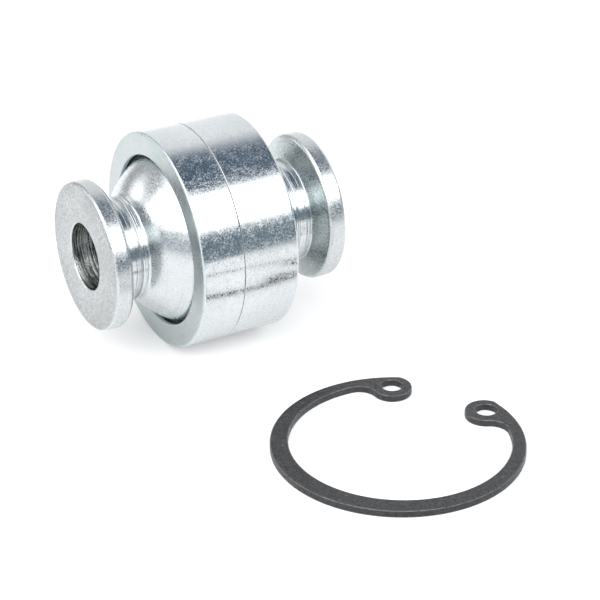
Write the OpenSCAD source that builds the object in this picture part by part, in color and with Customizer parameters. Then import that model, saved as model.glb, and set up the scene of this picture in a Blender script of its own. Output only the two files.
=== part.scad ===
// Swivel joint cartridge: a spool-shaped ball that swivels in a split race, and the
// snap ring that holds the race in its housing, lying beside it.
// X runs along the bolt bore, Z is up and the origin is the centre of the ball.
// The race lies on its side, and the snap ring lies flat on the same surface.

/* [Ball sleeve] */
// Diameter of the ball
ball_d = 45; // [37.5:0.5:54]
// Length over the two end faces
sleeve_len = 60; // [50:0.5:72]
// Diameter of the bolt bore
bore_d = 16; // [13:0.1:19.2]
// Diameter of the two necks
neck_d = 24.5; // [21:0.1:29.4]
// Diameter of the two end flanges
flange_d = 35.5; // [30:0.5:40]
// Thickness of a flange at its rim
rim_t = 4.3; // [3.5:0.1:5.2]
// How far a flange's inner face slopes in from its rim to the neck
flange_slope = 2.1; // [1:0.1:3]
// Chamfer on the edges of each flange rim
rim_chamfer = 0.5; // [0.2:0.1:0.8]
// Chamfer at each end of the bolt bore
bore_chamfer = 0.3; // [0.1:0.1:0.6]
// Fillet between a neck and the ball
ball_fillet = 0.8; // [0.4:0.1:1.2]

/* [Race] */
// Width of the front race half
front_w = 10.6; // [9:0.1:12.7]
// Width of the rear race half
rear_w = 14.1; // [11.7:0.1:17]
// How far the seam lies in front of the ball's centre
seam_offset = 1.4; // [0:0.1:2.8]
// Race wall where it is thinnest, over the middle of its seat
race_wall = 2.25; // [1.8:0.05:4]
// Chamfer on the race's outer edges
race_chamfer = 0.6; // [0.2:0.1:1]
// Width of the small chamfer round each opening
lip_chamfer = 0.3; // [0.1:0.05:0.5]
// Chamfer on the outer edges where the two halves meet
seam_chamfer = 0.12; // [0.05:0.01:0.25]

/* [Liner] */
// Thickness of the two liner cups
liner_t = 1.15; // [0.9:0.05:1.4]
// How far each liner cup stops short of the race's end face
liner_inset = 1.6; // [1:0.1:3]
// Radial clearance of the ball in the liner, and of the liner in the race
swivel_gap = 0.05; // [0.02:0.01:0.1]

/* [Snap ring] */
// Thickness of the snap ring
ring_t = 1.75; // [1.4:0.05:2.1]
// How much the free ring's radius is larger than the race's
ring_spread = 2.4; // [2:0.1:2.9]
// Width of the ring's section opposite its gap
ring_back_w = 4.6; // [3.8:0.1:5.5]
// Width of the ring's section beside its lugs
ring_tip_w = 2.45; // [2:0.05:3]
// Outer radius of each lug
lug_r = 4.6; // [3.8:0.1:5.6]
// Distance from the ring's outer edge in to the middle of a lug
lug_in = 4.2; // [3.9:0.1:5]
// Diameter of the plier hole in each lug
eye_d = 4.9; // [4:0.1:5.4]
// Distance from the ring's outer edge in to the middle of a plier hole
eye_in = 3.9; // [3.6:0.1:4.3]
// Angle from the middle of the gap to each lug
lug_angle = 28.9; // [24:0.1:34]
// Blend between a lug and the ring's inner edge
lug_blend = 4; // [2:0.1:5]
// Clear distance between the race and the ring lying beside it
ring_away = 16.8; // [5:0.1:40]
// How far the ring lies behind the ball's centre
ring_x = 12.7; // [-30:0.1:30]
// Direction of the ring's gap, counted from +X
ring_turn = 33.6; // [0:0.1:360]

/* [Hidden] */
$fn = 128;
// How deep a blend's arc cuts past the surfaces it joins, so that they cross cleanly
blend_bite = 0.02;
// How far a cut runs past the face it opens
cut_past = 1;
// Angle by which the snap ring's band runs on inside each lug, past the lug's middle
band_past = 2;

ball_r = ball_d / 2;
bore_r = bore_d / 2;
neck_r = neck_d / 2;
flange_r = flange_d / 2;
end_x = sleeve_len / 2;
rim_x = end_x - rim_t;
root_x = rim_x - flange_slope;

liner_in_r = ball_r + swivel_gap;
liner_out_r = liner_in_r + liner_t;
seat_r = liner_out_r + swivel_gap;
race_r = seat_r + race_wall;
seam_x = -seam_offset;
front_x = seam_x - front_w;
rear_x = seam_x + rear_w;

ring_r = race_r + ring_spread;
ring_y = -(race_r + ring_away + ring_r);
ring_shift = (ring_back_w - ring_tip_w) / 2;
ring_in_r = ring_r - (ring_back_w + ring_tip_w) / 2;

zinc = [0.80, 0.83, 0.86];
dark_polymer = [0.10, 0.11, 0.12];
black_phosphate = [0.24, 0.25, 0.26];

// Turns a half section about X: its x is the radius and its y runs along +X
module turned() {
  rotate([0, 90, 0]) rotate_extrude() children();
}

// Bar of radius r on the X axis between two places along it
module bar(r, x1, x2) {
  translate([min(x1, x2), 0, 0]) rotate([0, 90, 0]) cylinder(r = r, h = abs(x2 - x1));
}

// Repeats what is made for the +X side on both sides
module both_ends() {
  for (side = [0, 1]) mirror([side, 0, 0]) children();
}

// ---- ball sleeve ----

module flange() {
  inner_r = flange_r - rim_chamfer;
  slope = flange_slope / (flange_r - neck_r);
  turned() polygon([
    [0, root_x], [neck_r, root_x], [inner_r, rim_x - slope * rim_chamfer], [flange_r, rim_x + rim_chamfer],
    [flange_r, end_x - rim_chamfer], [inner_r, end_x], [0, end_x]
  ]);
}

// Fills the corner between a neck and the ball with a round fillet
module neck_fillet() {
  centre_r = neck_r + ball_fillet - blend_bite;
  reach = ball_r + ball_fillet - blend_bite;
  centre_x = sqrt(reach * reach - centre_r * centre_r);
  k = ball_r / reach;
  turned() difference() {
    polygon([[0, 0], [0, centre_x], [centre_r, centre_x], [centre_r * k, centre_x * k]]);
    translate([centre_r, centre_x]) circle(r = ball_fillet);
  }
}

module bore_mouth() {
  mouth_r = bore_r + bore_chamfer;
  turned() polygon([
    [0, end_x - bore_chamfer], [bore_r, end_x - bore_chamfer], [mouth_r, end_x], [mouth_r, end_x + cut_past],
    [0, end_x + cut_past]
  ]);
}

module swivel_ball() {
  color(zinc) difference() {
    union() {
      sphere(r = ball_r);
      bar(neck_r, -root_x, root_x);
      both_ends() {
        flange();
        neck_fillet();
      }
    }
    bar(bore_r, -end_x - cut_past, end_x + cut_past);
    both_ends() bore_mouth();
  }
}

// ---- race halves and their liners ----

// Half disc of radius r on the turning axis
module half_disc(r) {
  intersection() {
    circle(r = r);
    translate([0, -r]) square([r, 2 * r]);
  }
}

// One race half, from the seam to its end face
module race_half(from, to) {
  dir = sign(to - from);
  opening_r = sqrt(seat_r * seat_r - to * to);
  lip_r = opening_r + lip_chamfer;
  lip_depth = 2 * lip_chamfer;
  color(zinc) turned() difference() {
    polygon([
      [0, from], [race_r - seam_chamfer, from], [race_r, from + dir * seam_chamfer],
      [race_r, to - dir * race_chamfer], [race_r - race_chamfer, to], [0, to]
    ]);
    half_disc(seat_r);
    polygon([
      [0, to - dir * lip_depth], [opening_r - lip_chamfer, to - dir * lip_depth], [lip_r, to],
      [lip_r, to + dir * cut_past], [0, to + dir * cut_past]
    ]);
  }
}

// The cup that lines one race half
module liner_half(from, to) {
  edge = to - sign(to - from) * liner_inset;
  color(dark_polymer) turned() difference() {
    intersection() {
      half_disc(liner_out_r);
      translate([0, min(from, edge)]) square([liner_out_r, abs(edge - from)]);
    }
    half_disc(liner_in_r);
  }
}

module front_race() { race_half(seam_x, front_x); }
module rear_race() { race_half(seam_x, rear_x); }
module front_liner() { liner_half(seam_x, front_x); }
module rear_liner() { liner_half(seam_x, rear_x); }

// ---- snap ring, drawn about its own middle with its gap towards +X ----

// Straight-sided slab that runs past both faces of the ring, which trims it
module slab() {
  translate([0, 0, -cut_past]) linear_extrude(height = ring_t + 2 * cut_past) children();
}

// The open band, which narrows from its back towards the gap
module ring_band() {
  end_angle = lug_angle - band_past;
  reach = 2 * ring_r;
  gap_x = reach * cos(end_angle);
  gap_y = reach * sin(end_angle);
  difference() {
    slab() circle(r = ring_r + cut_past);
    slab() translate([ring_shift, 0]) circle(r = ring_in_r);
    slab() polygon([[0, 0], [gap_x, gap_y], [2 * reach, 0], [gap_x, -gap_y]]);
  }
}

// Blends a lug into the ring's inner edge, on the lug's side away from the gap
module lug_blend_piece() {
  lug_at = (ring_r - lug_in) * [cos(lug_angle), sin(lug_angle)];
  hub_at = [ring_shift, 0];
  to_lug = lug_at - hub_at;
  hub_lug = norm(to_lug);
  hub_blend = ring_in_r - lug_blend + blend_bite;
  lug_to_blend = lug_r + lug_blend - blend_bite;
  spread = acos(
    (hub_blend * hub_blend + hub_lug * hub_lug - lug_to_blend * lug_to_blend) / (2 * hub_blend * hub_lug)
  );
  blend_dir = atan2(to_lug[1], to_lug[0]) + spread;
  blend_at = hub_at + hub_blend * [cos(blend_dir), sin(blend_dir)];
  edge_at = hub_at + (ring_in_r + ring_tip_w / 2) * [cos(blend_dir), sin(blend_dir)];
  band_at = (ring_r - ring_tip_w / 2) * [cos(lug_angle), sin(lug_angle)];
  difference() {
    slab() polygon([lug_at, blend_at, edge_at, band_at]);
    slab() translate(blend_at) circle(r = lug_blend);
  }
}

module snap_ring() {
  color(black_phosphate) translate([ring_x, ring_y, -race_r]) rotate(ring_turn) difference() {
    intersection() {
      cylinder(r = ring_r, h = ring_t);
      union() {
        ring_band();
        for (side = [0, 1]) mirror([0, side, 0]) {
          slab() rotate(lug_angle) translate([ring_r - lug_in, 0]) circle(r = lug_r);
          lug_blend_piece();
        }
      }
    }
    for (side = [-1, 1]) rotate(side * lug_angle) translate([ring_r - eye_in, 0, -cut_past])
      cylinder(d = eye_d, h = ring_t + 2 * cut_past);
  }
}

swivel_ball();
front_race();
rear_race();
front_liner();
rear_liner();
snap_ring();
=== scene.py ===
import math

import bmesh
import bpy
from mathutils import Matrix, Vector


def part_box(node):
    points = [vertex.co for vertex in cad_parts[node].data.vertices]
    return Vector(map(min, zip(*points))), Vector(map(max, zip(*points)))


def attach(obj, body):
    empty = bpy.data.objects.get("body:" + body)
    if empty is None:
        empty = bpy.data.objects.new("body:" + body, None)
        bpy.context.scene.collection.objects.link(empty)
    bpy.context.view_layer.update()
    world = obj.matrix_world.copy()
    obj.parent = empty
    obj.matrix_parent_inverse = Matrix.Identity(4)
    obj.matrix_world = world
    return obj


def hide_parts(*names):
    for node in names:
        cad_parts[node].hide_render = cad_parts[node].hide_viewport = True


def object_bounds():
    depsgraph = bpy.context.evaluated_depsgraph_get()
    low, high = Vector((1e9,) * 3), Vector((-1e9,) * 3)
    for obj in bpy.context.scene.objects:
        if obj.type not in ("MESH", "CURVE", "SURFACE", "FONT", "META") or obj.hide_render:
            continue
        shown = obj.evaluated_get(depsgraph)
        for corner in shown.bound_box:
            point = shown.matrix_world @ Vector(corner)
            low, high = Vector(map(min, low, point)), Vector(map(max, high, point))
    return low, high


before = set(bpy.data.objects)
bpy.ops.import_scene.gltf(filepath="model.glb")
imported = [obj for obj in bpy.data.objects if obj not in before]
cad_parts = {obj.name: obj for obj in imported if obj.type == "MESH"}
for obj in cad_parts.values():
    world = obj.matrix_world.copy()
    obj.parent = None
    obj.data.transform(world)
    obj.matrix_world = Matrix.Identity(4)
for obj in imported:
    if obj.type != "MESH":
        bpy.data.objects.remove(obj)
cadLow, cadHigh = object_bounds()

# Everything is in metres: X runs along the bolt bore and the ball's centre is the origin.

axisX = Vector((1, 0, 0))
axisY = Vector((0, 1, 0))
axisZ = Vector((0, 0, 1))

meshQuality = dict(
    turnSteps=256,           # facets round a turned piece
    sharpAngle=math.radians(32),
    weldDistance=1e-7,
    holdDistance=0.00005,    # a flat's last loop lies this far from the rounded corner beside it
    secondHold=0.00015,      # and a stamped flat has one more loop this far behind it
    splitRoom=1.5,           # a flat shorter than this many rounded corners gets no such loop
)


# Node helpers

noiseSpan = (0.32, 0.68)     # nearly all of a noise's values lie between these


def connect(tree, source, target):
    if isinstance(source, bpy.types.NodeSocket):
        tree.links.new(source, target)
    else:
        target.default_value = source


def addMath(tree, operation, first, second=None, clamp=False):
    node = tree.nodes.new("ShaderNodeMath")
    node.operation = operation
    node.use_clamp = clamp
    connect(tree, first, node.inputs[0])
    if second is not None:
        connect(tree, second, node.inputs[1])
    return node.outputs[0]


def addRange(tree, value, fromLow, fromHigh, toLow, toHigh, smooth=True):
    node = tree.nodes.new("ShaderNodeMapRange")
    node.interpolation_type = "SMOOTHSTEP" if smooth else "LINEAR"
    for name, given in (("Value", value), ("From Min", fromLow), ("From Max", fromHigh),
                        ("To Min", toLow), ("To Max", toHigh)):
        connect(tree, given, node.inputs[name])
    return node.outputs["Result"]


def addNoise(tree, vector, scale, detail, roughness):
    node = tree.nodes.new("ShaderNodeTexNoise")
    connect(tree, vector, node.inputs["Vector"])
    connect(tree, scale, node.inputs["Scale"])
    node.inputs["Detail"].default_value = detail
    node.inputs["Roughness"].default_value = roughness
    return node.outputs["Fac"]


def mixColours(tree, share, first, second):
    # A mix node's two colours are its inputs 6 and 7, and its two plain values are 2 and 3
    node = tree.nodes.new("ShaderNodeMix")
    node.data_type = "RGBA"
    connect(tree, share, node.inputs["Factor"])
    for socket, given in ((node.inputs[6], first), (node.inputs[7], second)):
        connect(tree, given if isinstance(given, bpy.types.NodeSocket) else (*given, 1.0), socket)
    return node.outputs[2]


def mixValues(tree, share, first, second):
    node = tree.nodes.new("ShaderNodeMix")
    connect(tree, share, node.inputs["Factor"])
    connect(tree, first, node.inputs[2])
    connect(tree, second, node.inputs[3])
    return node.outputs[0]


def startGroup(name, inputs, outputs):
    group = bpy.data.node_groups.new(name, "ShaderNodeTree")
    for socketName, kind in inputs.items():
        group.interface.new_socket(socketName, in_out="INPUT", socket_type="NodeSocket" + kind)
    for socketName, kind in outputs.items():
        group.interface.new_socket(socketName, in_out="OUTPUT", socket_type="NodeSocket" + kind)
    given = group.nodes.new("NodeGroupInput")
    wanted = group.nodes.new("NodeGroupOutput")
    return group, given.outputs, wanted.inputs


def useGroup(tree, group, **inputs):
    node = tree.nodes.new("ShaderNodeGroup")
    node.node_tree = group
    for name, given in inputs.items():
        connect(tree, given, node.inputs[name])
    return node.outputs


# Effects that several finishes share

grainShape = dict(
    fineScale=0.7,           # this and the next are shares of the finish's own grain scale
    patchScale=0.14,
    patchFrom=0.3,
    patchTo=0.7,
    patchStrength=0.6,       # what is left of the grain's contrast in the calm patches
    fineShare=0.5,           # how much of a crystal's tone is fine noise
    dullFrom=0.12,
    dullTo=0.9,
)


def plateGrainGroup(values):
    # The fine crystal grain of plated zinc or of a phosphate coat, with bright and dull crystals
    group, given, wanted = startGroup(
        "plateGrain", dict(Vector="Vector", Scale="Float", Contrast="Float"),
        dict(Tone="Float", Height="Float", Dull="Float"))
    cells = group.nodes.new("ShaderNodeTexVoronoi")
    connect(group, given["Vector"], cells.inputs["Vector"])
    connect(group, given["Scale"], cells.inputs["Scale"])
    crystals = group.nodes.new("ShaderNodeSeparateColor")
    connect(group, cells.outputs["Color"], crystals.inputs["Color"])
    fineScale = addMath(group, "MULTIPLY", given["Scale"], values["fineScale"])
    fine = addNoise(group, given["Vector"], fineScale, detail=3.0, roughness=0.7)
    patchScale = addMath(group, "MULTIPLY", given["Scale"], values["patchScale"])
    patches = addNoise(group, given["Vector"], patchScale, detail=2.0, roughness=0.5)
    fineTone = addRange(group, fine, *noiseSpan, 0.0, 1.0, False)
    blend = mixValues(group, values["fineShare"], crystals.outputs["Red"], fineTone)
    calm = addRange(
        group, patches, values["patchFrom"], values["patchTo"], values["patchStrength"], 1.0)
    strength = addMath(group, "MULTIPLY", given["Contrast"], calm)
    centred = addMath(group, "MULTIPLY", addMath(group, "SUBTRACT", blend, 0.5), strength)
    connect(group, addMath(group, "ADD", centred, 0.5, True), wanted["Tone"])
    connect(group, fine, wanted["Height"])
    dull = mixValues(group, values["fineShare"], crystals.outputs["Green"], fineTone)
    dullTone = addRange(group, dull, values["dullFrom"], values["dullTo"], 0.0, 1.0, False)
    connect(group, addMath(group, "MULTIPLY", dullTone, strength, True), wanted["Dull"])
    return group


ringShape = dict(
    fadeScale=130.0,
    fadeStrength=0.35,       # what is left of the rings where they fade
    contrast=2.0,
)


def turningMarksGroup(values):
    # Fine rings that a lathe tool leaves round X, which fade in and out
    group, given, wanted = startGroup(
        "turningMarks", dict(Vector="Vector", Scale="Float", Lean="Float", Wander="Float"),
        dict(Tone="Float", Height="Float"))
    parts = group.nodes.new("ShaderNodeSeparateXYZ")
    connect(group, given["Vector"], parts.inputs[0])
    across = group.nodes.new("ShaderNodeCombineXYZ")
    connect(group, parts.outputs["Y"], across.inputs["Y"])
    connect(group, parts.outputs["Z"], across.inputs["Z"])
    length = group.nodes.new("ShaderNodeVectorMath")
    length.operation = "LENGTH"
    connect(group, across.outputs[0], length.inputs[0])
    lean = addMath(group, "MULTIPLY", parts.outputs["Y"], given["Lean"])
    place = group.nodes.new("ShaderNodeCombineXYZ")
    connect(group, addMath(group, "ADD", parts.outputs["X"], lean), place.inputs["X"])
    drift = addMath(group, "MULTIPLY", parts.outputs["Y"], given["Wander"])
    connect(group, addMath(group, "ADD", length.outputs["Value"], drift), place.inputs["Y"])
    connect(group, addMath(group, "MULTIPLY", parts.outputs["Z"], given["Wander"]), place.inputs["Z"])
    rings = addNoise(group, place.outputs[0], given["Scale"], detail=4.0, roughness=0.7)
    fade = addNoise(group, given["Vector"], values["fadeScale"], detail=2.0, roughness=0.5)
    fadeTone = addRange(group, fade, *noiseSpan, values["fadeStrength"], 1.0)
    centred = addMath(group, "MULTIPLY", addMath(group, "SUBTRACT", rings, 0.5), fadeTone)
    strong = addMath(group, "MULTIPLY", centred, values["contrast"])
    connect(group, addMath(group, "ADD", strong, 0.5, True), wanted["Tone"])
    connect(group, rings, wanted["Height"])
    return group


speckShape = dict(
    bendScale=3.0,           # this many times as fine as the specks themselves
    bend=0.0006,             # how far a speck's outline wanders
    smallest=0.1,            # sizes are shares of the distance between specks
    largest=0.32,
    softness=0.6,
)


def handlingSpecksGroup(values):
    # Sparse small stains and pits from plating and handling
    group, given, wanted = startGroup(
        "handlingSpecks", dict(Vector="Vector", Scale="Float", Share="Float"), dict(Mask="Float"))
    bend = group.nodes.new("ShaderNodeTexNoise")
    connect(group, given["Vector"], bend.inputs["Vector"])
    bendScale = addMath(group, "MULTIPLY", given["Scale"], values["bendScale"])
    connect(group, bendScale, bend.inputs["Scale"])
    shift = group.nodes.new("ShaderNodeVectorMath")
    shift.operation = "MULTIPLY_ADD"
    connect(group, bend.outputs["Color"], shift.inputs[0])
    shift.inputs[1].default_value = 3 * (values["bend"],)
    connect(group, given["Vector"], shift.inputs[2])
    cells = group.nodes.new("ShaderNodeTexVoronoi")
    connect(group, shift.outputs[0], cells.inputs["Vector"])
    connect(group, given["Scale"], cells.inputs["Scale"])
    chance = group.nodes.new("ShaderNodeSeparateColor")
    connect(group, cells.outputs["Color"], chance.inputs["Color"])
    chosen = addMath(group, "LESS_THAN", chance.outputs["Red"], given["Share"])
    size = addRange(
        group, chance.outputs["Green"], 0.0, 1.0, values["smallest"], values["largest"], False)
    outward = addMath(group, "DIVIDE", cells.outputs["Distance"], size)
    spot = addMath(group, "SUBTRACT", 1.0, outward, True)
    softened = addMath(group, "POWER", spot, values["softness"])
    connect(group, addMath(group, "MULTIPLY", softened, chosen), wanted["Mask"])
    return group


# The corner mask is partly real rubbing and partly a painted edge highlight
wearAndHighlightShape = dict(
    breakupFrom=0.34,
    breakupTo=0.62,
    least=0.25,              # what is left of the wear and painted edge highlight where it breaks up
)


def edgeWearGroup(values):
    # Breaks up the wear and painted edge highlight that the piece's corners carry
    group, given, wanted = startGroup(
        "edgeWear", dict(Vector="Vector", Wear="Float", Scale="Float"), dict(Mask="Float"))
    edgeBreakup = addNoise(group, given["Vector"], given["Scale"], detail=4.0, roughness=0.65)
    kept = addRange(group, edgeBreakup, values["breakupFrom"], values["breakupTo"], values["least"], 1.0)
    connect(group, addMath(group, "MULTIPLY", given["Wear"], kept, True), wanted["Mask"])
    return group


plateGrain = plateGrainGroup(grainShape)
turningMarks = turningMarksGroup(ringShape)
handlingSpecks = handlingSpecksGroup(speckShape)
edgeWear = edgeWearGroup(wearAndHighlightShape)
print("shared finish effects ready")


# Finishes

def startFinish(name):
    material = bpy.data.materials.new(name)
    material.use_nodes = True
    tree = material.node_tree
    shader = tree.nodes["Principled BSDF"]
    place = tree.nodes.new("ShaderNodeTexCoord").outputs["Object"]
    # The wear attribute marks corners that get rubbed colour and a painted edge highlight
    wearAndHighlight = tree.nodes.new("ShaderNodeAttribute")
    wearAndHighlight.attribute_name = "wearAndHighlight"
    return material, tree, shader, place, wearAndHighlight.outputs["Fac"]


def addBump(tree, shader, height, depth, normal=None):
    bump = tree.nodes.new("ShaderNodeBump")
    bump.inputs["Distance"].default_value = depth
    connect(tree, height, bump.inputs["Height"])
    if normal is not None:
        connect(tree, normal, bump.inputs["Normal"])
    connect(tree, bump.outputs["Normal"], shader.inputs["Normal"])
    return bump.outputs["Normal"]


def zincFinish(name, values):
    material, tree, shader, place, wearAndHighlight = startFinish(name)
    grain = useGroup(
        tree, plateGrain, Vector=place, Scale=values["grainScale"], Contrast=values["grainContrast"])
    rings = useGroup(
        tree, turningMarks, Vector=place, Scale=values["ringScale"], Lean=values["ringLean"],
        Wander=values["ringWander"])
    specks = useGroup(
        tree, handlingSpecks, Vector=place, Scale=values["speckScale"], Share=values["speckShare"])
    wornAndHighlit = useGroup(tree, edgeWear, Vector=place, Wear=wearAndHighlight, Scale=values["wearAndHighlightScale"])
    cloud = addNoise(tree, place, values["cloudScale"], detail=3.0, roughness=0.55)

    plate = mixColours(tree, grain["Tone"], values["darkPlate"], values["lightPlate"])
    tintShare = addRange(tree, cloud, values["tintFrom"], values["tintTo"], 0.0, values["tintShare"])
    tinted = mixColours(tree, tintShare, plate, values["tint"])
    ringShare = addRange(
        tree, rings["Tone"], values["ringFrom"], values["ringTo"], values["ringShade"], 0.0)
    ringed = mixColours(tree, ringShare, tinted, values["ringColour"])
    # Corners are lightened: partly real wear, partly a painted edge highlight
    wornAndHighlitShare = addMath(tree, "MULTIPLY", wornAndHighlit["Mask"], values["wearAndHighlightShare"])
    rubbedAndHighlit = mixColours(tree, wornAndHighlitShare, ringed, values["wornAndHighlightColour"])
    speckShare = addMath(tree, "MULTIPLY", specks["Mask"], values["speckDepth"])
    speckled = mixColours(tree, speckShare, rubbedAndHighlit, values["speckColour"])
    connect(tree, speckled, shader.inputs["Base Color"])

    gloss = addRange(tree, grain["Dull"], 0.0, 1.0, values["roughLow"], values["roughHigh"], False)
    cloudRough = values["cloudRough"]
    haze = addRange(tree, cloud, values["hazeFrom"], values["hazeTo"], -cloudRough, cloudRough)
    cloudy = addMath(tree, "ADD", gloss, haze)
    stain = addMath(tree, "MULTIPLY", specks["Mask"], values["speckRough"])
    connect(tree, addMath(tree, "ADD", cloudy, stain, True), shader.inputs["Roughness"])
    shader.inputs["Metallic"].default_value = 1.0
    first = addBump(tree, shader, rings["Height"], values["ringDepth"])
    addBump(tree, shader, grain["Height"], values["grainDepth"], first)
    return material


brightZinc = dict(
    grainScale=3600.0, grainContrast=1.0, grainDepth=0.000006,
    ringScale=2600.0, ringLean=0.0, ringWander=0.03, ringDepth=0.000003, ringShade=0.12,
    ringFrom=0.2, ringTo=0.5, ringColour=(0.40, 0.42, 0.44),
    speckScale=330.0, speckShare=0.14, speckDepth=0.20, speckColour=(0.34, 0.33, 0.33),
    cloudScale=70.0, tintFrom=0.4, tintTo=0.68, tintShare=0.5, tint=(0.58, 0.62, 0.62),
    darkPlate=(0.57, 0.595, 0.615), lightPlate=(0.635, 0.66, 0.67),
    # The worn colour is lighter than the plate: real wear and a painted edge highlight
    wearAndHighlightScale=900.0, wearAndHighlightShare=0.5, wornAndHighlightColour=(0.76, 0.77, 0.78),
    roughLow=0.03, roughHigh=0.49, cloudRough=0.015, hazeFrom=0.35, hazeTo=0.7, speckRough=0.0,
)

softerZinc = dict(brightZinc, roughLow=0.08, roughHigh=0.46)

ballZinc = dict(
    brightZinc, grainScale=3000.0, grainDepth=0.000016, ringScale=1500.0, ringDepth=0.000018,
    ringShade=0.3, roughLow=0.13, roughHigh=0.44, speckScale=380.0, speckShare=0.16,
)

neckZinc = dict(
    ballZinc, grainContrast=0.9, ringScale=1700.0, ringWander=0.05, ringDepth=0.00006,
    ringShade=0.6, ringColour=(0.22, 0.23, 0.24), roughLow=0.10, roughHigh=0.32,
)

rimZinc = dict(
    ballZinc, grainDepth=0.00003, ringDepth=0.000030, ringShade=0.4, roughLow=0.20, roughHigh=0.48,
    darkPlate=(0.44, 0.46, 0.47), lightPlate=(0.66, 0.68, 0.69),
)

faceZinc = dict(
    brightZinc, grainScale=2400.0, grainContrast=1.7, grainDepth=0.00010,
    ringScale=1300.0, ringDepth=0.00003, ringShade=0.3, ringColour=(0.25, 0.26, 0.27),
    darkPlate=(0.28, 0.295, 0.30), lightPlate=(0.60, 0.61, 0.615),
    # The worn colour is lighter than the face: real wear and a painted edge highlight
    tint=(0.37, 0.385, 0.385), tintShare=0.45, wornAndHighlightColour=(0.62, 0.63, 0.64),
    speckScale=520.0, speckShare=0.30, speckDepth=0.60, speckColour=(0.26, 0.235, 0.225),
    roughLow=0.32, roughHigh=0.50, cloudRough=0.05, speckRough=0.1,
)

raceFaceZinc = dict(
    faceZinc, grainContrast=1.0, grainDepth=0.00003, ringDepth=0.00001, ringShade=0.15,
    darkPlate=(0.43, 0.46, 0.465), lightPlate=(0.54, 0.565, 0.57),
    tint=(0.42, 0.50, 0.495), tintShare=0.5, speckShare=0.12, speckDepth=0.5,
    roughLow=0.29, roughHigh=0.42,
)

flangeBackZinc = dict(
    faceZinc, ringScale=1200.0, ringDepth=0.00006, ringShade=0.5,
    darkPlate=(0.40, 0.43, 0.44), lightPlate=(0.60, 0.63, 0.635), tint=(0.40, 0.48, 0.47),
    grainDepth=0.00005, speckShare=0.2, roughLow=0.11, roughHigh=0.32,
)

seatSteel = dict(
    faceZinc, darkPlate=(0.46, 0.60, 0.62), lightPlate=(0.60, 0.74, 0.76), tint=(0.50, 0.66, 0.67),
    roughLow=0.55, roughHigh=0.75,
)

boreSteel = dict(
    brightZinc, grainScale=1700.0, grainContrast=0.4, grainDepth=0.00003,
    ringScale=2100.0, ringLean=0.06, ringWander=0.05, ringDepth=0.00042, ringShade=1.0,
    ringFrom=0.30, ringTo=0.68, ringColour=(0.02, 0.022, 0.02),
    darkPlate=(0.46, 0.48, 0.475), lightPlate=(0.66, 0.69, 0.68),
    tint=(0.42, 0.47, 0.45), tintShare=0.6,
    speckShare=0.3, speckDepth=0.5, speckColour=(0.10, 0.10, 0.10),
    roughLow=0.22, roughHigh=0.36, cloudRough=0.04, speckRough=0.1,
)


def polymerFinish(name, values):
    material, tree, shader, place, wearAndHighlight = startFinish(name)
    grain = useGroup(
        tree, plateGrain, Vector=place, Scale=values["grainScale"], Contrast=values["grainContrast"])
    wornAndHighlit = useGroup(tree, edgeWear, Vector=place, Wear=wearAndHighlight, Scale=values["wearAndHighlightScale"])
    base = mixColours(tree, grain["Tone"], values["dark"], values["light"])
    # Rubbed corners are lighter: real wear and a painted edge highlight
    wornAndHighlitShare = addMath(tree, "MULTIPLY", wornAndHighlit["Mask"], values["wearAndHighlightShare"])
    connect(tree, mixColours(tree, wornAndHighlitShare, base, values["rubbedAndHighlit"]), shader.inputs["Base Color"])
    rough = addRange(tree, grain["Tone"], 0.0, 1.0, values["roughLow"], values["roughHigh"], False)
    connect(tree, rough, shader.inputs["Roughness"])
    addBump(tree, shader, grain["Height"], values["grainDepth"])
    return material


linerPolymer = dict(
    grainScale=2400.0, grainContrast=0.6, grainDepth=0.000006, wearAndHighlightScale=1200.0, wearAndHighlightShare=0.5,
    # rubbed is the lighter corner colour: real wear and a painted edge highlight
    dark=(0.010, 0.011, 0.012), light=(0.022, 0.024, 0.026), rubbedAndHighlit=(0.06, 0.065, 0.07),
    roughLow=0.42, roughHigh=0.58,
)


def phosphateFinish(name, values):
    material, tree, shader, place, wearAndHighlight = startFinish(name)
    grain = useGroup(
        tree, plateGrain, Vector=place, Scale=values["grainScale"], Contrast=values["grainContrast"])
    specks = useGroup(
        tree, handlingSpecks, Vector=place, Scale=values["speckScale"], Share=values["speckShare"])
    wornAndHighlit = useGroup(tree, edgeWear, Vector=place, Wear=wearAndHighlight, Scale=values["wearAndHighlightScale"])
    cloud = addNoise(tree, place, values["cloudScale"], detail=3.0, roughness=0.6)

    base = mixColours(tree, grain["Tone"], values["dark"], values["light"])
    dustShare = addRange(tree, cloud, values["dustFrom"], values["dustTo"], 0.0, values["dustShare"])
    clouded = mixColours(tree, dustShare, base, values["dusty"])
    # Worn corners turn to lighter bare steel, partly real wear and partly a painted edge highlight
    wornAndHighlitShare = addMath(tree, "MULTIPLY", wornAndHighlit["Mask"], values["wearAndHighlightShare"])
    rubbedAndHighlit = mixColours(tree, wornAndHighlitShare, clouded, values["bareSteelAndHighlight"])
    speckShare = addMath(tree, "MULTIPLY", specks["Mask"], values["speckDepth"])
    connect(tree, mixColours(tree, speckShare, rubbedAndHighlit, values["bareSteelAndHighlight"]), shader.inputs["Base Color"])

    rough = addRange(tree, grain["Tone"], 0.0, 1.0, values["roughHigh"], values["roughLow"], False)
    polish = addMath(tree, "MULTIPLY", wornAndHighlit["Mask"], values["wearPolish"])
    connect(tree, addMath(tree, "SUBTRACT", rough, polish), shader.inputs["Roughness"])
    metal = addMath(tree, "MULTIPLY", wornAndHighlit["Mask"], values["wearMetal"])
    connect(tree, metal, shader.inputs["Metallic"])
    shader.inputs["Specular IOR Level"].default_value = values["sheen"]
    addBump(tree, shader, grain["Height"], values["grainDepth"])
    return material


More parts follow.
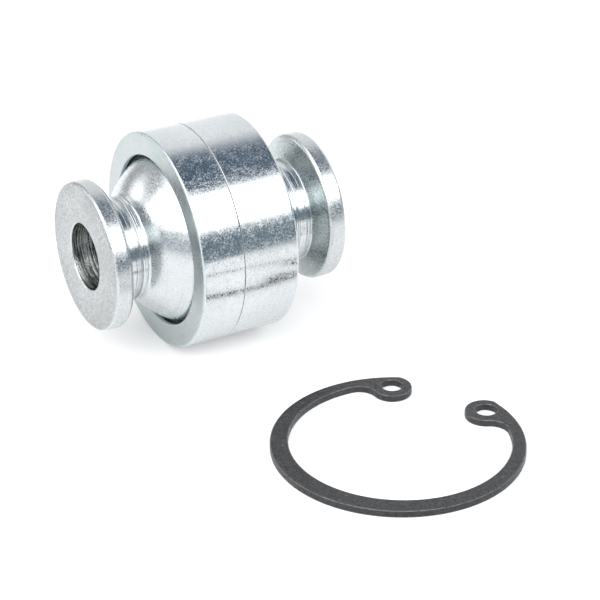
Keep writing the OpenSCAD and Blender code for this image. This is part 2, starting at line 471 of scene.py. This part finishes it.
blackPhosphate = dict(
    sheen=0.50, grainScale=2300.0, grainContrast=1.7, grainDepth=0.00005,
    speckScale=480.0, speckShare=0.22, speckDepth=0.5,
    wearAndHighlightScale=700.0, wearAndHighlightShare=0.75, wearPolish=0.12, wearMetal=0.5,
    # Bare steel shows in pits and on worn corners, where it also paints an edge highlight
    dark=(0.003, 0.0035, 0.004), light=(0.026, 0.027, 0.030), bareSteelAndHighlight=(0.16, 0.16, 0.165),
    cloudScale=90.0, dustFrom=0.35, dustTo=0.7, dustShare=0.55, dusty=(0.020, 0.021, 0.023),
    roughLow=0.30, roughHigh=0.58,
)

raceFinish = zincFinish("groundZincRace", brightZinc)
rearRaceFinish = zincFinish("softerZincRace", softerZinc)
ballFinish = zincFinish("brightZincBall", ballZinc)
neckFinish = zincFinish("turnedZincNeck", neckZinc)
rimFinish = zincFinish("rolledZincRim", rimZinc)
faceFinish = zincFinish("satinZincFace", faceZinc)
raceFaceFinish = zincFinish("satinZincRaceFace", raceFaceZinc)
flangeBackFinish = zincFinish("turnedZincFlangeBack", flangeBackZinc)
seatFinish = zincFinish("dullSteelSeat", seatSteel)
boreFinish = zincFinish("drilledBoreSteel", boreSteel)
linerFinish = polymerFinish("linerPolymer", linerPolymer)
ringFinish = phosphateFinish("blackPhosphate", blackPhosphate)
print("finishes ready")


# Turned pieces: an outline in the XZ plane, x along the bore and z the radius

def addCorner(bm, x, radius, after=None):
    corner = bm.verts.new((x, 0, radius))
    if after is not None:
        bm.edges.new((after, corner))
    return corner


def swing(bm, start, centre, axis, angle, steps):
    # Carries an outline on round an arc and returns the point where it ends
    arc = bmesh.ops.spin(
        bm, geom=[start], cent=centre, axis=axis, dvec=(0, 0, 0), angle=angle, steps=steps,
        use_duplicate=False)
    return next(item for item in arc["geom_last"] if isinstance(item, bmesh.types.BMVert))


def roundCorner(bm, corner, radius, segments):
    # Holding points keep the flats on both sides flat when the piece is shaded smooth
    reach = radius + meshQuality["holdDistance"]
    for edge in list(corner.link_edges):
        if edge.calc_length() > meshQuality["splitRoom"] * reach:
            bmesh.utils.edge_split(edge, corner, reach / edge.calc_length())
    bmesh.ops.bevel(
        bm, geom=[corner], offset=radius, offset_type="OFFSET", segments=segments, profile=0.5,
        affect="VERTICES", material=-1)


def turnAndFinish(bm, name, body, node, finishes, pickFinish, wearAndHighlightCorners, wearAndHighlightReach):
    bmesh.ops.remove_doubles(bm, verts=bm.verts, dist=meshQuality["weldDistance"])
    bmesh.ops.spin(
        bm, geom=bm.verts[:] + bm.edges[:], cent=(0, 0, 0), axis=axisX, dvec=(0, 0, 0),
        angle=2 * math.pi, steps=meshQuality["turnSteps"], use_merge=True, use_duplicate=False)
    finishPiece(
        bm, name, body, node, finishes, pickFinish,
        lambda co: turnedWear(co, wearAndHighlightCorners, wearAndHighlightReach))


def turnedWear(co, corners, reach):
    # Corners are given as x and radius, and their wear and painted edge highlight fade out over the
    # reach
    place = Vector((co.x, math.hypot(co.y, co.z)))
    nearest = min((place - Vector(corner)).length for corner in corners)
    return max(0.0, 1.0 - nearest / reach)


def finishPiece(bm, name, body, node, finishes, pickFinish, wearAndHighlightOf):
    bmesh.ops.remove_doubles(bm, verts=bm.verts, dist=meshQuality["weldDistance"])
    bmesh.ops.recalc_face_normals(bm, faces=bm.faces)
    if bm.calc_volume(signed=True) < 0:
        bmesh.ops.reverse_faces(bm, faces=bm.faces)
    # Each vertex's wear value also sets where a painted edge highlight goes
    wearAndHighlight = bm.verts.layers.float.new("wearAndHighlight")
    for vert in bm.verts:
        vert[wearAndHighlight] = wearAndHighlightOf(vert.co)
    for face in bm.faces:
        face.smooth = True
        if pickFinish is not None:
            face.material_index = pickFinish(face.calc_center_median())
    mesh = bpy.data.meshes.new(name)
    bm.to_mesh(mesh)
    bm.free()
    mesh.set_sharp_from_angle(angle=meshQuality["sharpAngle"])
    piece = bpy.data.objects.new(name, mesh)
    bpy.context.scene.collection.objects.link(piece)
    for finish in finishes:
        mesh.materials.append(finish)
    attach(piece, body)
    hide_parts(node)
    print(name, "made,", len(mesh.polygons), "faces")


# Swivel sleeve: the ball with its two necks and end flanges

sleeve = dict(
    neckRadius=0.01225,
    flangeRadius=0.01775,
    rimThickness=0.0043,
    flangeSlope=0.0021,      # how far a flange's inner face leans in from rim to neck
    rimRounding=0.0008,
    roundSteps=5,            # on the rims and at the necks' roots
    boreRadius=0.0080,
    boreChamfer=0.0003,
    mouthSteps=2,            # on the corners of the bore's chamfer
    ballFillet=0.0008,
    rootFillet=0.00030,      # between a neck and its flange
    grooveDepth=0.00012,     # tool marks at both ends of each neck
    grooveWidth=0.00024,
    groovePitch=0.00055,
    groovesByBall=3,
    grooveFade=0.25,         # each groove by the ball is this much shallower than the first
    rootGrooveAway=0.0012,   # from the flange's root in to the last groove
    ballSteps=40,
    filletSteps=8,
    wearAndHighlightReach=0.0006,
)


def makeSwivelSleeve(values):
    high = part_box("swivel_ball")[1]
    ballRadius = high.z
    endX = high.x
    rimX = endX - values["rimThickness"]
    rootX = rimX - values["flangeSlope"]
    neck = values["neckRadius"]
    flange = values["flangeRadius"]
    bore = values["boreRadius"]
    groove = values["grooveWidth"]

    filletRise = neck + values["ballFillet"]
    filletReach = ballRadius + values["ballFillet"]
    filletX = math.sqrt(filletReach ** 2 - filletRise ** 2)
    ballAngle = math.atan2(filletX, filletRise)

    bm = bmesh.new()
    middle = addCorner(bm, 0, ballRadius)
    ballEnd = swing(bm, middle, (0, 0, 0), axisY, ballAngle, values["ballSteps"])
    filletEnd = swing(bm, ballEnd, (filletX, 0, filletRise), axisY, -ballAngle, values["filletSteps"])
    last = filletEnd
    for count in range(values["groovesByBall"]):
        start = filletEnd.co.x + count * values["groovePitch"]
        depth = values["grooveDepth"] * (1 - values["grooveFade"] * count)
        if count:
            last = addCorner(bm, start, neck, last)
        last = addCorner(bm, start + groove / 2, neck - depth, last)
        last = addCorner(bm, start + groove, neck, last)
    rootStart = rootX - values["rootGrooveAway"]
    last = addCorner(bm, rootStart - groove, neck, last)
    last = addCorner(bm, rootStart - groove / 2, neck - values["grooveDepth"], last)
    last = addCorner(bm, rootStart, neck, last)
    root = addCorner(bm, rootX, neck, last)
    rimInner = addCorner(bm, rimX, flange, root)
    rimOuter = addCorner(bm, endX, flange, rimInner)
    mouthOuter = addCorner(bm, endX, bore + values["boreChamfer"], rimOuter)
    mouthInner = addCorner(bm, endX - values["boreChamfer"], bore, mouthOuter)
    addCorner(bm, 0, bore, mouthInner)
    roundCorner(bm, root, values["rootFillet"], values["roundSteps"])
    for corner in (rimInner, rimOuter):
        roundCorner(bm, corner, values["rimRounding"], values["roundSteps"])
    for corner in (mouthOuter, mouthInner):
        roundCorner(bm, corner, values["boreChamfer"] / 3, values["mouthSteps"])
    bmesh.ops.mirror(
        bm, geom=bm.verts[:] + bm.edges[:], matrix=Matrix.Identity(4),
        merge_dist=meshQuality["weldDistance"], axis="X")

    onBall, onFace, onBore, onNeck, onFlangeBack, onRim = range(6)
    finishes = (ballFinish, faceFinish, boreFinish, neckFinish, flangeBackFinish, rimFinish)

    # Where one finish gives way to the next
    boreWall = bore + 0.1 * values["boreChamfer"]
    mouthEdge = bore + 0.9 * values["boreChamfer"]
    faceFrom = endX - 0.3 * values["rimRounding"]
    flangeFrom = rootX + 0.5 * values["rootFillet"]
    rimFrom = flange - 0.7 * values["rimRounding"]
    neckFrom = filletX - values["ballFillet"]

    def pickFinish(centre):
        radius = math.hypot(centre.y, centre.z)
        along = abs(centre.x)
        if radius < boreWall:
            return onBore
        if radius < mouthEdge:
            return onRim
        if along > faceFrom:
            return onFace
        if along > flangeFrom:
            return onFlangeBack if radius < rimFrom else onRim
        return onNeck if along > neckFrom else onBall

    # These corners get worn colour and a painted edge highlight
    mouth = bore + values["boreChamfer"]
    corners = ((rimX, flange), (endX, flange), (endX, mouth))
    wearAndHighlightCorners = [(side * x, radius) for side in (-1, 1) for x, radius in corners]
    turnAndFinish(
        bm, "swivelSleeve", "ball", "swivel_ball", finishes, pickFinish,
        wearAndHighlightCorners, values["wearAndHighlightReach"])


makeSwivelSleeve(sleeve)


# Race halves

race = dict(
    seatRadius=0.02375,
    outerRounding=0.0006,
    outerSteps=5,
    lipRounding=0.0003,
    lipSteps=3,
    landDepth=0.0009,        # the opening runs straight in this far before the seat begins
    seamRounding=0.00013,
    seamSteps=3,
    slitWidth=0.00008,       # each half stands back this much where the halves meet
    slitDepth=0.0010,
    seatSteps=28,
    wearAndHighlightReach=0.0006,
)


def makeRaceHalf(name, node, seamX, endX, outsideFinish, values):
    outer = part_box(node)[1].z
    seat = values["seatRadius"]
    opening = math.sqrt(seat ** 2 - endX ** 2)
    seamRadius = math.sqrt(seat ** 2 - seamX ** 2)

    bm = bmesh.new()
    seamInner = addCorner(bm, seamX, seamRadius)
    landX = endX - math.copysign(values["landDepth"], endX - seamX)
    sweep = math.asin(landX / seat) - math.atan2(seamX, seamRadius)
    seatEnd = swing(bm, seamInner, (0, 0, 0), axisY, sweep, values["seatSteps"])
    landEnd = addCorner(bm, landX, opening, seatEnd)
    lip = addCorner(bm, endX, opening, landEnd)
    faceOuter = addCorner(bm, endX, outer, lip)
    slitX = seamX + math.copysign(values["slitWidth"], endX - seamX)
    seamOuter = addCorner(bm, slitX, outer, faceOuter)
    slitFloor = addCorner(bm, slitX, outer - values["slitDepth"], seamOuter)
    seamFace = addCorner(bm, seamX, outer - values["slitDepth"], slitFloor)
    bm.edges.new((seamFace, seamInner))
    roundCorner(bm, faceOuter, values["outerRounding"], values["outerSteps"])
    roundCorner(bm, seamOuter, values["seamRounding"], values["seamSteps"])
    roundCorner(bm, lip, values["lipRounding"], values["lipSteps"])

    onOutside, onFace, onSeat = range(3)
    finishes = (outsideFinish, raceFaceFinish, seatFinish)
    outsideFrom = outer - values["seamRounding"]
    faceDepth = 0.3 * values["lipRounding"]

    def pickFinish(centre):
        if math.hypot(centre.y, centre.z) > outsideFrom:
            return onOutside
        return onFace if abs(endX - centre.x) < faceDepth else onSeat

    wearAndHighlightCorners = [(endX, outer), (endX, opening), (slitX, outer)]
    turnAndFinish(
        bm, name, "race", node, finishes, pickFinish, wearAndHighlightCorners, values["wearAndHighlightReach"])


def makeRace(values):
    frontLow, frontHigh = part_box("front_race")
    rearLow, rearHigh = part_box("rear_race")
    makeRaceHalf("frontRaceHalf", "front_race", frontHigh.x, frontLow.x, raceFinish, values)
    makeRaceHalf("rearRaceHalf", "rear_race", rearLow.x, rearHigh.x, rearRaceFinish, values)


makeRace(race)


# Liner cups between the ball and the race

liner = dict(
    innerRadius=0.02255,
    outerRadius=0.02370,
    edgeRounding=0.00015,
    edgeSteps=3,
    sweepSteps=24,
    wearAndHighlightReach=0.0003,
)


def makeLinerCup(name, node, seamX, edgeX, values):
    inner = values["innerRadius"]
    outer = values["outerRadius"]

    def radiusAt(x, sphere):
        return math.sqrt(sphere ** 2 - x ** 2)

    def tiltAt(x, sphere):
        return math.atan2(x, radiusAt(x, sphere))

    bm = bmesh.new()
    innerSeam = addCorner(bm, seamX, radiusAt(seamX, inner))
    innerSweep = tiltAt(edgeX, inner) - tiltAt(seamX, inner)
    innerEdge = swing(bm, innerSeam, (0, 0, 0), axisY, innerSweep, values["sweepSteps"])
    outerEdge = addCorner(bm, edgeX, radiusAt(edgeX, outer), innerEdge)
    outerSweep = tiltAt(seamX, outer) - tiltAt(edgeX, outer)
    outerSeam = swing(bm, outerEdge, (0, 0, 0), axisY, outerSweep, values["sweepSteps"])
    bm.edges.new((outerSeam, innerSeam))
    for corner in (innerEdge, outerEdge):
        roundCorner(bm, corner, values["edgeRounding"], values["edgeSteps"])
    wearAndHighlightCorners = [(edgeX, radiusAt(edgeX, inner)), (edgeX, radiusAt(edgeX, outer))]
    turnAndFinish(
        bm, name, "liners", node, (linerFinish,), None, wearAndHighlightCorners,
        values["wearAndHighlightReach"])


def makeLiners(values):
    frontLow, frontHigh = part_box("front_liner")
    rearLow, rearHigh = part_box("rear_liner")
    makeLinerCup("frontLinerCup", "front_liner", frontHigh.x, frontLow.x, values)
    makeLinerCup("rearLinerCup", "rear_liner", rearLow.x, rearHigh.x, values)


makeLiners(liner)


# Snap ring, outlined about its own middle with the gap towards +X

snapRing = dict(
    outerRadius=0.0284,
    backWidth=0.0046,
    tipWidth=0.00245,
    lugRadius=0.0046,
    lugIn=0.0042,            # from the ring's outer edge in to the middle of a lug
    eyeRadius=0.00245,
    eyeIn=0.0039,
    lugAngle=math.radians(28.9),
    lugBlend=0.0040,
    turn=math.radians(33.6),  # direction of the gap, from +X
    middleX=0.0127,
    awayFromRace=0.0168,
    edgeRounding=0.00028,
    edgeSteps=4,
    bandSteps=90,
    lugSteps=48,
    blendSteps=24,
    eyeSteps=64,
    weldDistance=1e-6,
    wearAndHighlightFrom=0.1,            # the rubbed and painted-highlight band of the rolled rim, from the wall up to the flat
    wearAndHighlightTo=0.98,
)


def dressRim(bm, faces, radius, steps):
    # Rolls the rim over a quarter circle, then lays holding loops on the flat
    quarter = [math.pi / 2 * step / steps for step in range(steps + 1)]
    for before, now in zip(quarter, quarter[1:]):
        bmesh.ops.inset_region(
            bm, faces=faces, thickness=radius * (math.cos(before) - math.cos(now)),
            depth=radius * (math.sin(now) - math.sin(before)), use_boundary=True, use_even_offset=True)
    for step in (meshQuality["holdDistance"], meshQuality["secondHold"]):
        bmesh.ops.inset_region(
            bm, faces=faces, thickness=step, depth=0, use_boundary=True, use_even_offset=True)


def makeSnapRing(values):
    low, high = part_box("snap_ring")
    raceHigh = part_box("front_race")[1]
    thickness = high.z - low.z
    outer = values["outerRadius"]
    shift = (values["backWidth"] - values["tipWidth"]) / 2
    inner = outer - (values["backWidth"] + values["tipWidth"]) / 2
    lugAway = outer - values["lugIn"]
    lugAngle = values["lugAngle"]
    lugMiddle = Vector((lugAway * math.cos(lugAngle), lugAway * math.sin(lugAngle), 0))
    hub = Vector((shift, 0, 0))

    # The outer edge runs from the ring's back to the corner where the lug cuts it
    tipCosine = (outer ** 2 + lugAway ** 2 - values["lugRadius"] ** 2) / (2 * outer * lugAway)
    tipAngle = lugAngle - math.acos(tipCosine)

    # The blend's middle is one lug radius and one blend radius from the lug's middle
    hubToLug = lugMiddle - hub
    hubToBlend = inner - values["lugBlend"]
    lugToBlend = values["lugRadius"] + values["lugBlend"]
    lugLength = hubToLug.length
    blendCosine = (hubToBlend ** 2 + lugLength ** 2 - lugToBlend ** 2) / (2 * hubToBlend * lugLength)
    blendAngle = math.atan2(hubToLug.y, hubToLug.x) + math.acos(blendCosine)
    blendMiddle = hub + hubToBlend * Vector((math.cos(blendAngle), math.sin(blendAngle), 0))

    bm = bmesh.new()
    back = bm.verts.new((-outer, 0, 0))
    tip = swing(bm, back, (0, 0, 0), axisZ, tipAngle - math.pi, values["bandSteps"])
    fromLug = tip.co - lugMiddle
    toBlend = blendMiddle - lugMiddle
    lugTurn = math.atan2(toBlend.y, toBlend.x) - math.atan2(fromLug.y, fromLug.x)
    lugSweep = lugTurn % (2 * math.pi) - 2 * math.pi
    lugEnd = swing(bm, tip, lugMiddle, axisZ, lugSweep, values["lugSteps"])
    blendSweep = (lugMiddle - blendMiddle).xy.angle((blendMiddle - hub).xy)
    blendEnd = swing(bm, lugEnd, blendMiddle, axisZ, blendSweep, values["blendSteps"])
    swing(bm, blendEnd, hub, axisZ, math.pi - blendAngle, values["bandSteps"])
    bmesh.ops.mirror(
        bm, geom=bm.verts[:] + bm.edges[:], matrix=Matrix.Identity(4),
        merge_dist=meshQuality["weldDistance"], axis="Y")
    eyeAway = outer - values["eyeIn"]
    for side in (-1, 1):
        eye = Vector((eyeAway * math.cos(lugAngle), side * eyeAway * math.sin(lugAngle), 0))
        bmesh.ops.create_circle(
            bm, segments=values["eyeSteps"], radius=values["eyeRadius"], matrix=Matrix.Translation(eye))
    bmesh.ops.remove_doubles(bm, verts=bm.verts, dist=values["weldDistance"])
    bmesh.ops.triangle_fill(bm, use_beauty=True, use_dissolve=False, edges=bm.edges)

    rounding = values["edgeRounding"]
    wall = thickness - 2 * rounding
    bmesh.ops.translate(bm, vec=(0, 0, -wall / 2), verts=bm.verts)
    grown = bmesh.ops.extrude_face_region(bm, geom=bm.faces[:])
    topCorners = [item for item in grown["geom"] if isinstance(item, bmesh.types.BMVert)]
    bmesh.ops.translate(bm, vec=(0, 0, wall), verts=topCorners)
    bmesh.ops.recalc_face_normals(bm, faces=bm.faces)
    flats = [face for face in bm.faces if abs(face.normal.z) > 0.5]
    dressRim(bm, flats, rounding, values["edgeSteps"])

    turn = Matrix.Rotation(values["turn"], 3, "Z")
    bmesh.ops.rotate(bm, cent=(0, 0, 0), matrix=turn, verts=bm.verts)
    middleY = -(raceHigh.z + values["awayFromRace"] + outer)
    middle = Vector((values["middleX"], middleY, (low.z + high.z) / 2))
    bmesh.ops.translate(bm, vec=middle, verts=bm.verts)

    # The rolled rim band carries wear and a painted edge highlight
    def rimWear(co):
        rise = (abs(co.z - middle.z) - wall / 2) / rounding
        return 1.0 if values["wearAndHighlightFrom"] < rise < values["wearAndHighlightTo"] else 0.0

    finishPiece(
        bm, "snapRing", "ring", "snap_ring", (ringFinish,), None, rimWear)


makeSnapRing(snapRing)


# Floor, light and camera

studio = dict(
    floorReach=7.0,
    floorCells=4,
    floorFront=0.27,         # the sheet's front edge lies this far from the ball's centre
    floorColour=(0.74, 0.74, 0.74),
    floorGlow=0.25,
    floorRough=0.9,
    floorSheen=0.1,
    fibreScale=900.0,
    fibreTone=0.985,         # the fibres' darkest tone, as a share of the floor's colour
    backdrop=(1.3, 1.3, 1.3),
    brightness=1.3,
    horizonGlow=(0.70, 0.71, 0.72),
)

# Directions in degrees: azimuth 0 is -Y and 90 is +X, height is above the horizon
backWall = dict(azimuth=150, halfWidth=62, low=-20, high=55, soft=14, glow=(0.89, 0.90, 0.91))
backLeft = dict(azimuth=-155, halfWidth=34, low=-20, high=70, soft=8, glow=(0.40, 0.41, 0.42))
openRoof = dict(azimuth=-90, halfWidth=95, low=55, high=120, soft=6, glow=(1.60, 1.60, 1.60))
darkRoof = dict(azimuth=92, halfWidth=75, low=54, high=120, soft=9, glow=(0.07, 0.11, 0.165))
softbox = dict(azimuth=-27, halfWidth=83, low=24.5, high=54.5, soft=3, glow=(2.9, 2.9, 2.9))
window = dict(azimuth=-140, halfWidth=14, low=15, high=31, soft=5, glow=(1.9, 1.9, 1.9))
roomRight = dict(azimuth=32, halfWidth=58, low=-20, high=20, soft=3, glow=(0.14, 0.19, 0.23))
roomLeft = dict(azimuth=-60, halfWidth=40, low=-20, high=17, soft=5, glow=(0.42, 0.46, 0.50))
# Each panel covers the ones before it
studioPanels = (backWall, backLeft, openRoof, darkRoof, softbox, window, roomRight, roomLeft)


def makeFloor(values):
    reach = values["floorReach"]
    cells = values["floorCells"]
    place = Matrix.Translation((0, reach - values["floorFront"], cadLow.z))
    bm = bmesh.new()
    bmesh.ops.create_grid(bm, x_segments=cells, y_segments=cells, size=reach, matrix=place)
    mesh = bpy.data.meshes.new("studioFloor")
    bm.to_mesh(mesh)
    bm.free()
    floor = bpy.data.objects.new("studioFloor", mesh)
    bpy.context.scene.collection.objects.link(floor)

    paper = bpy.data.materials.new("whitePaper")
    paper.use_nodes = True
    tree = paper.node_tree
    shader = tree.nodes["Principled BSDF"]
    position = tree.nodes.new("ShaderNodeTexCoord").outputs["Object"]
    fibre = addNoise(tree, position, values["fibreScale"], detail=3.0, roughness=0.6)
    shade = tuple(values["fibreTone"] * channel for channel in values["floorColour"])
    connect(tree, mixColours(tree, fibre, shade, values["floorColour"]), shader.inputs["Base Color"])
    shader.inputs["Roughness"].default_value = values["floorRough"]
    shader.inputs["Specular IOR Level"].default_value = values["floorSheen"]
    shader.inputs["Emission Color"].default_value = (1.0, 1.0, 1.0, 1.0)
    shader.inputs["Emission Strength"].default_value = values["floorGlow"]
    mesh.materials.append(paper)


def makeStudioLight(values, panels):
    world = bpy.data.worlds.new("softStudio")
    bpy.context.scene.world = world
    world.use_nodes = True
    tree = world.node_tree
    background = tree.nodes["Background"]
    direction = tree.nodes.new("ShaderNodeTexCoord").outputs["Generated"]
    parts = tree.nodes.new("ShaderNodeSeparateXYZ")
    connect(tree, direction, parts.inputs[0])
    height = addMath(tree, "DEGREES", addMath(tree, "ARCSINE", parts.outputs["Z"]))
    flat = tree.nodes.new("ShaderNodeCombineXYZ")
    connect(tree, parts.outputs["X"], flat.inputs["X"])
    connect(tree, parts.outputs["Y"], flat.inputs["Y"])
    level = tree.nodes.new("ShaderNodeVectorMath")
    level.operation = "NORMALIZE"
    connect(tree, flat.outputs[0], level.inputs[0])

    glow = values["horizonGlow"]
    for panel in panels:
        azimuth = math.radians(panel["azimuth"])
        facing = tree.nodes.new("ShaderNodeVectorMath")
        facing.operation = "DOT_PRODUCT"
        connect(tree, level.outputs[0], facing.inputs[0])
        facing.inputs[1].default_value = (math.sin(azimuth), -math.cos(azimuth), 0)
        aside = addMath(tree, "DEGREES", addMath(tree, "ARCCOSINE", facing.outputs["Value"]))
        soft = panel["soft"]
        wide = panel["halfWidth"]
        # The sides fade over twice the distance that the top and the bottom do
        sideMask = addRange(tree, aside, wide - 2 * soft, wide + 2 * soft, 1.0, 0.0)
        lowMask = addRange(tree, height, panel["low"] - soft, panel["low"] + soft, 0.0, 1.0)
        highMask = addRange(tree, height, panel["high"] - soft, panel["high"] + soft, 1.0, 0.0)
        heightMask = addMath(tree, "MULTIPLY", lowMask, highMask)
        mask = addMath(tree, "MULTIPLY", sideMask, heightMask)
        glow = mixColours(tree, mask, glow, panel["glow"])

    seen = tree.nodes.new("ShaderNodeLightPath").outputs["Is Camera Ray"]
    connect(tree, mixColours(tree, seen, glow, values["backdrop"]), background.inputs["Color"])
    background.inputs["Strength"].default_value = values["brightness"]


makeFloor(studio)
makeStudioLight(studio, studioPanels)

view = dict(
    azimuth=math.radians(-28.76),
    height=math.radians(28.13),
    distance=0.5681,
    aim=Vector((0.01671, -0.01880, -0.01452)),
    lens=143.76,
    nearest=0.01,
    farthest=50.0,
)


def makeCamera(values):
    cameraData = bpy.data.cameras.new("studioCamera")
    cameraData.lens = values["lens"]
    cameraData.clip_start = values["nearest"]
    cameraData.clip_end = values["farthest"]
    camera = bpy.data.objects.new("studioCamera", cameraData)
    bpy.context.scene.collection.objects.link(camera)
    flat = math.cos(values["height"])
    back = Vector((
        math.sin(values["azimuth"]) * flat, -math.cos(values["azimuth"]) * flat,
        math.sin(values["height"])))
    camera.location = values["aim"] + values["distance"] * back
    camera.rotation_euler = (-back).to_track_quat("-Z", "Y").to_euler()
    bpy.context.scene.camera = camera


makeCamera(view)
bpy.context.scene.view_settings.view_transform = "Standard"
print("studio ready")
